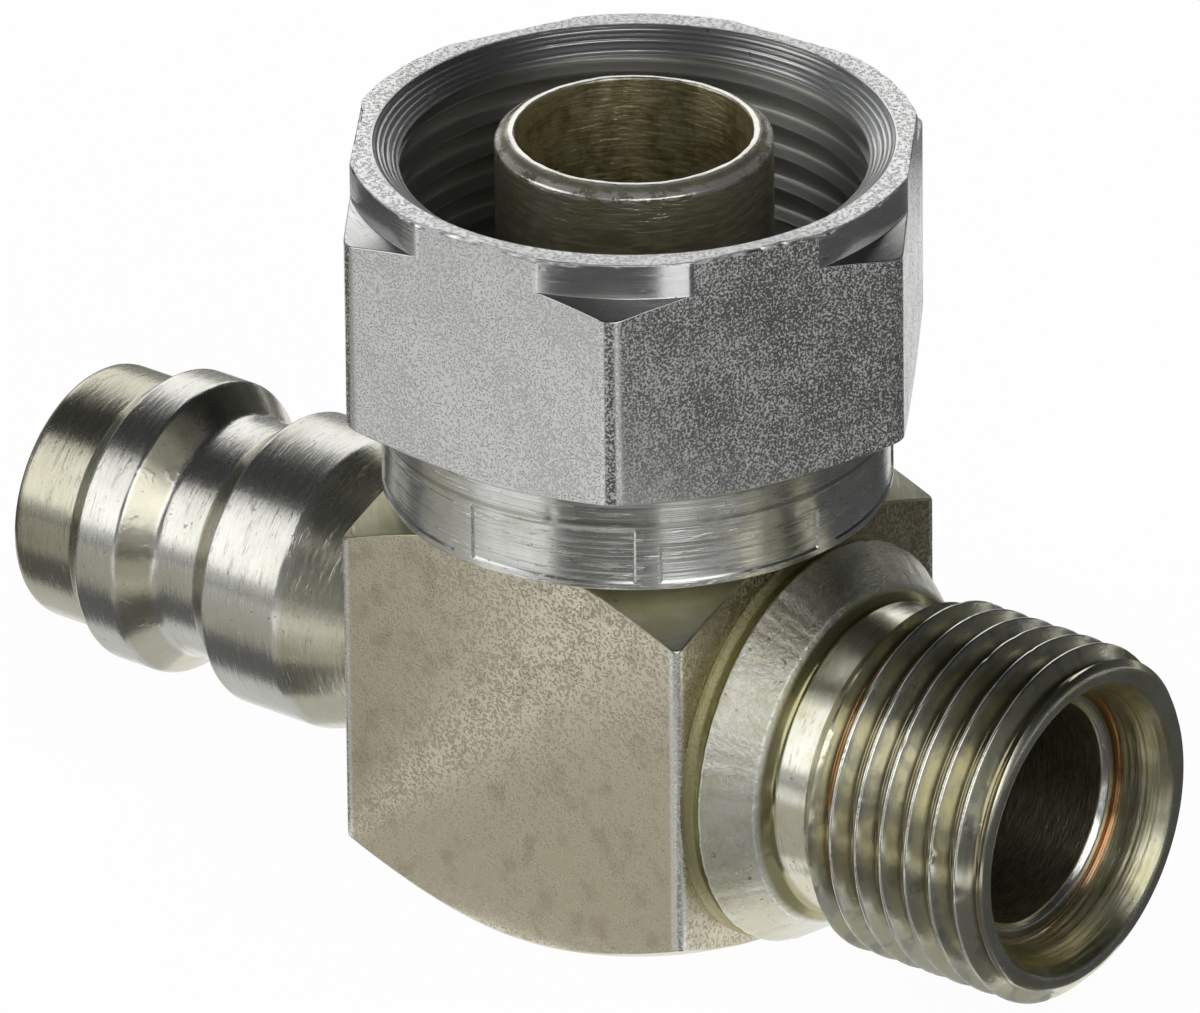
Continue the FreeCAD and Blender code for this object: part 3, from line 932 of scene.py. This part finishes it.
def mouth_marks(graph, surface, place, along, radius):
    """Rust ring at the bore's step, the bright seat beside it, and the olive mouth."""
    side = graph.step(graph.split(place)[1], 1.0, 6.0, 0.35, 1.0)
    ring = graph.times(graph.band(along, 25.75, 26.12, 0.06), graph.band(radius, 6.5, 7.0, 0.06))
    tint(graph, surface, graph.times(ring, side), color(0.40, 0.17, 0.04), 0.9)
    seat = graph.times(graph.band(along, 25.4, 25.9, 0.05), graph.band(radius, 5.94, 6.3, 0.04))
    tint(graph, surface, seat, color(0.78, 0.78, 0.73))
    mouth = graph.times(graph.step(along, 25.9, 26.3), graph.step(radius, 7.95, 7.75))
    patches = graph.step(graph.noise(place, 0.6, 3.0), 0.4, 0.6)
    olive = graph.mix(patches, color(0.66, 0.63, 0.44), color(0.48, 0.44, 0.22))
    tint(graph, surface, mouth, olive, 0.7)
    add(graph, surface, "rough", mouth, 0.12)


def connector_marks(graph, surface, place, along, radius):
    """All marks of the male connector."""
    drilled(graph, surface, place, radius, CONNECTOR_BORE, 0.85)
    boss_marks(graph, surface, place, along, radius)
    outer_thread_marks(graph, surface, place, along, radius)
    mouth_marks(graph, surface, place, along, radius)


def port_marks(graph, surface, place, along, radius):
    """Darker olive colour towards the block and on the sloping shoulders."""
    drilled(graph, surface, place, radius, CAP_RADIUS, 0.4)
    near = graph.step(along, -19.0, -12.5)
    slope = graph.times(graph.step(radius, 7.95, 7.8), graph.step(radius, 6.6, 6.8))
    share = graph.larger(graph.times(near, 0.7), graph.times(slope, 0.45))
    tint(graph, surface, share, color(0.42, 0.38, 0.20))


# Other finishes

def rubber():
    """Black moulded rubber with grey dust."""
    graph = material_graph("seal_rubber")
    place = object_place(graph)
    dust = graph.noise(place, 2.5, 4.0, 0.6)
    base = graph.mix(graph.step(dust, 0.45, 0.75), color(0.012, 0.02, 0.016), color(0.05, 0.06, 0.05))
    rough = graph.step(dust, 0.3, 0.7, 0.38, 0.6)
    normal = graph.bump(graph.noise(place, 12.0, 3.0), 8e-6)
    shader = graph.node("BsdfPrincipled", {"Base Color": base, "Roughness": rough, "Normal": normal})
    return graph.finish(shader.outputs[0])


def fluoroplastic():
    """Matt white plastic of the core's gasket."""
    graph = material_graph("core_plastic")
    place = object_place(graph)
    base = graph.mix(graph.noise(place, 2.0, 3.0), color(0.8, 0.8, 0.76), color(0.68, 0.67, 0.6))
    normal = graph.bump(graph.noise(place, 9.0, 3.0), 6e-6)
    shader = graph.node("BsdfPrincipled", {"Base Color": base, "Roughness": 0.55, "Normal": normal})
    return graph.finish(shader.outputs[0])


def brass():
    """Turned brass of the valve core."""
    return turned_zinc(
        "core_brass", "X", color(0.83, 0.62, 0.27), color(0.5, 0.33, 0.12),
        stain_share=0.5, roughness=0.2, depth=5e-6)


def wire_steel():
    """Drawn steel of the core's pin and spring."""
    return turned_zinc(
        "core_steel", "X", color(0.66, 0.65, 0.62), color(0.4, 0.38, 0.34),
        stain_share=0.4, roughness=0.2, depth=5e-6)


# Studio

# The camera was fitted to the photograph together with the fitting's turned edges. It looks at the
# side passages' height on the nut's axis, and then moves aside and up in its own plane.
CAMERA_AZIMUTH = 37.973
CAMERA_ELEVATION = 26.933
CAMERA_ROLL = -0.647
CAMERA_DISTANCE = 1142.2
CAMERA_ASIDE = -2.0585
CAMERA_ABOVE = 8.849
CAMERA_LENS = 659.13

# Floor and cards lie just below and just above Z = 0, and a far edge is out of every reflection
FLOOR_LEVEL = -0.03
CARD_LEVEL = 0.03
FAR = 400
COOL = color(0.98, 1.0, 1.0)
WARM = color(1.0, 0.97, 0.87)


def direction_from(turn, elevation):
    """Unit vector at an angle to the right of the camera, seen from above, and an elevation."""
    azimuth = math.radians(CAMERA_AZIMUTH + turn)
    rise = math.radians(elevation)
    return Vector((math.sin(azimuth) * math.cos(rise), -math.cos(azimuth) * math.cos(rise), math.sin(rise)))


def camera():
    """Camera at the photograph's viewing angle."""
    back = direction_from(0, CAMERA_ELEVATION)
    azimuth = math.radians(CAMERA_AZIMUTH)
    level = Vector((math.cos(azimuth), math.sin(azimuth), 0))
    upward = back.cross(level)
    roll = math.radians(CAMERA_ROLL)
    right = level * math.cos(roll) + upward * math.sin(roll)
    up = upward * math.cos(roll) - level * math.sin(roll)
    place = back * CAMERA_DISTANCE + right * CAMERA_ASIDE + up * CAMERA_ABOVE + Vector((0, 0, AXIS_HEIGHT))
    lens = bpy.data.cameras.new("camera")
    lens.sensor_width = 36.0
    lens.lens = CAMERA_LENS
    lens.clip_start = 0.01
    lens.clip_end = 20.0
    made = linked("camera", lens)
    made.matrix_world = Matrix((
        (right.x, up.x, back.x, place.x * MM),
        (right.y, up.y, back.y, place.y * MM),
        (right.z, up.z, back.z, place.z * MM),
        (0, 0, 0, 1),
    ))
    bpy.context.scene.camera = made


def lamp(name, turn, elevation, distance, width, height, radiance):
    """Soft rectangular lamp, in metres, that faces the object. Radiance 1 shows as white in a mirror."""
    data = bpy.data.lights.new(name, "AREA")
    data.shape = "RECTANGLE"
    data.size = width
    data.size_y = height
    data.energy = radiance * math.pi * width * height
    made = linked(name, data)
    toward = direction_from(turn, elevation)
    made.location = toward * distance + Vector((0, 0, 0.02))
    made.rotation_euler = toward.to_track_quat("Z", "Y").to_euler()
    made.visible_camera = False
    return made


def world():
    """Grey room, darker overhead and behind on the right, which the metal mirrors between the lamps."""
    graph = Graph(bpy.data.worlds.new("room"))
    toward = graph.node("TexCoord").outputs["Generated"]
    overhead = graph.step(graph.split(toward)[2], 0.1, 0.65, 0.24, 0.04)
    behind = graph.vector("DOT_PRODUCT", toward, direction_from(125, 0))
    dim = graph.node("MapRange", {0: behind, 1: 0.0, 2: 0.75, 3: 1.0, 4: 0.3}).outputs[0]
    background = graph.node("Background", {0: color(0.95, 1.0, 1.0), 1: graph.times(overhead, dim)})
    bpy.context.scene.world = graph.finish(background.outputs[0], "OutputWorld")


def flat_mesh(name, corners, level):
    """One level face through the corners, as part of the stage."""
    mesh = bpy.data.meshes.new(name)
    places = [(x * MM, y * MM, level * MM) for x, y in corners]
    mesh.from_pydata(places, [], [tuple(range(len(corners)))])
    made = linked(name, mesh)
    return made


def floor():
    """White floor that takes the object's shadow and shows white in the metal."""
    side = 6000
    made = flat_mesh("floor", [(-side, -side), (side, -side), (side, side), (-side, side)], FLOOR_LEVEL)
    graph = material_graph("white_floor")
    light_path = graph.node("LightPath").outputs
    seen = graph.larger(light_path["Is Camera Ray"], light_path["Is Glossy Ray"])
    seen = graph.larger(seen, light_path["Is Transmission Ray"])
    plain = graph.node("BsdfDiffuse", {"Color": color(0.9, 0.9, 0.9)}).outputs[0]
    glow = graph.node("Emission", {"Color": color(1, 1, 1), "Strength": 1.0}).outputs[0]
    surface = graph.node("MixShader", {0: graph.times(seen, 0.97), 1: plain, 2: glow}).outputs[0]
    made.data.materials.append(graph.finish(surface))


def arc(start, end, radius):
    """Points on a circle round the object, between two turns from the camera."""
    points = [direction_from(turn, 0) * radius for turn in np.linspace(start, end, 24)]
    return [(point.x, point.y) for point in points]


def sector(start, end, inner, outer):
    """Corners of a part of a ring round the object."""
    return arc(start, end, inner) + arc(start, end, outer)[::-1]


def card(name, corners, level, tone=COOL):
    """Glowing sheet that lies beside the object and shows only in its reflections: painted shade of the white
    floor, at its own level.
    """
    made = flat_mesh(name, corners, CARD_LEVEL)
    graph = material_graph(name)
    glow = graph.node("Emission", {"Color": tone, "Strength": level}).outputs[0]
    made.data.materials.append(graph.finish(glow))
    made.visible_camera = False
    made.visible_diffuse = False
    made.visible_shadow = False


def lamps():
    """Three softboxes that the metal mirrors, and a fill from above that it doesn't."""
    lamp("softbox_left", turn=-76, elevation=27, distance=0.7, width=0.45, height=0.6, radiance=1.3)
    lamp("softbox_back", turn=182, elevation=27, distance=0.8, width=0.7, height=0.46, radiance=1.15)
    lamp("softbox_right", turn=16, elevation=30, distance=0.8, width=0.68, height=0.6, radiance=1.6)
    fill = lamp("fill_top", turn=0, elevation=80, distance=1.0, width=1.0, height=1.0, radiance=2.0)
    fill.visible_glossy = False


def cards():
    """Sheets of painted shade on the floor, named after what mirrors them, with the white floor left bare
    between them.
    """
    card("card_front", sector(-36, 9, 45, FAR), 0.08)
    card("card_below_port", [(-60, -8.7), (-60, -2), (-13, -2), (-13, -8.7)], 0.62)
    card("card_port_near", [(-60, -21), (-60, -8.7), (-17, -8.7), (-15, -17)], 0.11)
    middle = [(-60, -21.2), (-15, -17.2), (-20, -38), (-55, -76), (-90, -76)]
    card("card_port_middle", middle, 0.38, WARM)
    card("card_block", [(-14, -12), (11, -12), (14, -44), (-15, -44)], 0.45, WARM)
    card("card_nut_left", [(-15, -50), (-45, -50), (-62, -100), (-20, -100)], 0.8)
    card("card_left_far", sector(-98, -42, 120, FAR), 0.13)
    card("card_left_back", sector(-140, -92, 85, FAR), 0.06)
    card("card_collar_left", sector(-140, -101, 58, 84.5), 0.08)
    card("card_below_connector", [(16, -9.5), (30, -9.5), (30, -0.5), (16, -0.5)], 0.42)
    card("card_connector_near", [(11.2, -9.7), (30, -9.7), (32, -30), (14.5, -30)], 0.22)
    card("card_end_near", [(30.2, -5), (52, -8), (56, -24), (54, -42), (34, -32)], 0.12)
    right = [(-6, 30), (12, 27), (29.5, 6), (30.5, -4.5), (61, -11), (81, -51)]
    card("card_right", arc(28, 130, FAR) + right, 0.08)
    card("card_back", sector(132, 220, 86, FAR), 0.14)


# Pieces

def dress(piece, node, body, materials):
    """Gives a shell smooth shading and its materials, hides the node that it stands for, and attaches it to
    the body that it rides on.
    """
    piece.data.shade_smooth()
    piece.data.set_sharp_from_angle(angle=SHARP_ANGLE)
    piece.data.materials.clear()
    for material in materials:
        piece.data.materials.append(material)
    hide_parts(node)
    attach(piece, body)


def paint(piece, chosen, index):
    """Gives the chosen faces another of the piece's materials."""
    for face in piece.data.polygons:
        if chosen(face.center / MM, face.normal):
            face.material_index = index


def dress_nodes(material, *nodes):
    """Finish for nodes that keep their own mesh."""
    for node in nodes:
        slots = frame["nodes"][node].data.materials
        slots.clear()
        slots.append(material)


def working_spring(material):
    """Copy of the core's spring, in the given finish, that sits between the barrel's floor and the pin's
    collar.
    """
    node = frame["nodes"]["core_spring"]
    mesh = node.data.copy()
    mesh.transform(node.matrix_world)
    mesh.materials.clear()
    mesh.materials.append(material)
    spring = linked("spring_wire", mesh)
    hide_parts("core_spring")
    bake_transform(spring)


def from_axis(centre):
    return math.hypot(centre.x, centre.y)


def rim_band(centre):
    """True on the turned band under the nut's rim."""
    return centre.z > RIM_FOOT - 0.05 and from_axis(centre) > RIM_RADIUS - 0.03


def nut_flat(centre, normal):
    """True on the drawn flats and corners, between the two turned ends."""
    on_side = abs(normal.z) < 0.05 and centre.z > HEXAGON_FOOT + 0.2 and from_axis(centre) > 14.2
    return on_side and not rim_band(centre)


def collar_band(centre, normal):
    """True on the outside of the nut's crimped collar."""
    return centre.z < HEXAGON_FOOT and from_axis(centre) > 12.6


def block_flat(centre, normal):
    """True on the four drawn sides of the bar."""
    on_side = abs(normal.z) < 0.02 and max(abs(centre.x), abs(centre.y)) > BAR_HALF - 0.2
    return on_side and 0.2 < centre.z < BLOCK_TOP - 0.01


block_turned = turned_zinc(
    "block_turned", "Z", color(0.74, 0.73, 0.68), color(0.50, 0.46, 0.28),
    stain_share=0.7, roughness=0.14, depth=1.3e-5, marks=block_marks)
block_drawn = grainy_zinc(
    "block_drawn", color(0.70, 0.65, 0.52), color(0.46, 0.40, 0.30),
    cover=0.56, grain_share=0.5, smooth=0.24, fineness=6.5, depth=1.5e-5, chalk=0.1, marks=flat_marks)
nut_turned = turned_zinc(
    "nut_turned", "Z", color(0.78, 0.79, 0.79), color(0.62, 0.61, 0.56),
    stain_share=0.35, roughness=0.16, depth=9e-6, marks=nut_marks)
nut_collar = turned_zinc(
    "nut_collar", "Z", color(0.78, 0.79, 0.77), color(0.56, 0.55, 0.47),
    stain_share=0.5, roughness=0.2, depth=3.4e-5, marks=collar_marks, fineness=5.0, spread=0.5)
nut_drawn = grainy_zinc(
    "nut_drawn", color(0.70, 0.70, 0.68), color(0.78, 0.78, 0.77),
    cover=0.57, grain_share=0.9, smooth=0.21, fineness=8.0, depth=2.4e-5, chalk=0.38)
connector_zinc = turned_zinc(
    "connector_zinc", "X", color(0.79, 0.78, 0.70), color(0.58, 0.55, 0.37),
    stain_share=0.55, roughness=0.16, depth=1.1e-5, marks=connector_marks, spread=4.0)
port_zinc = turned_zinc(
    "port_zinc", "X", color(0.80, 0.79, 0.75), color(0.60, 0.58, 0.48),
    stain_share=0.4, roughness=0.2, depth=1.5e-5, marks=port_marks, spread=7.0)

block = body_block()
dress(block, "body_block", "fitting", [block_turned, block_drawn])
paint(block, block_flat, 1)
nut = swivel_nut()
dress(nut, "swivel_nut", "nut", [nut_turned, nut_drawn, nut_collar])
paint(nut, nut_flat, 1)
paint(nut, collar_band, 2)
dress(male_connector(), "male_connector", "fitting", [connector_zinc])
dress(service_port(), "service_port", "fitting", [port_zinc])

dress_nodes(rubber(), "pilot_seal", "core_seal")
dress_nodes(fluoroplastic(), "core_gasket")
dress_nodes(brass(), "core_plug", "core_barrel", "core_cup")
steel = wire_steel()
dress_nodes(steel, "core_pin")
working_spring(steel)

bpy.context.scene.view_settings.view_transform = "Standard"
world()
floor()
camera()
lamps()
cards()
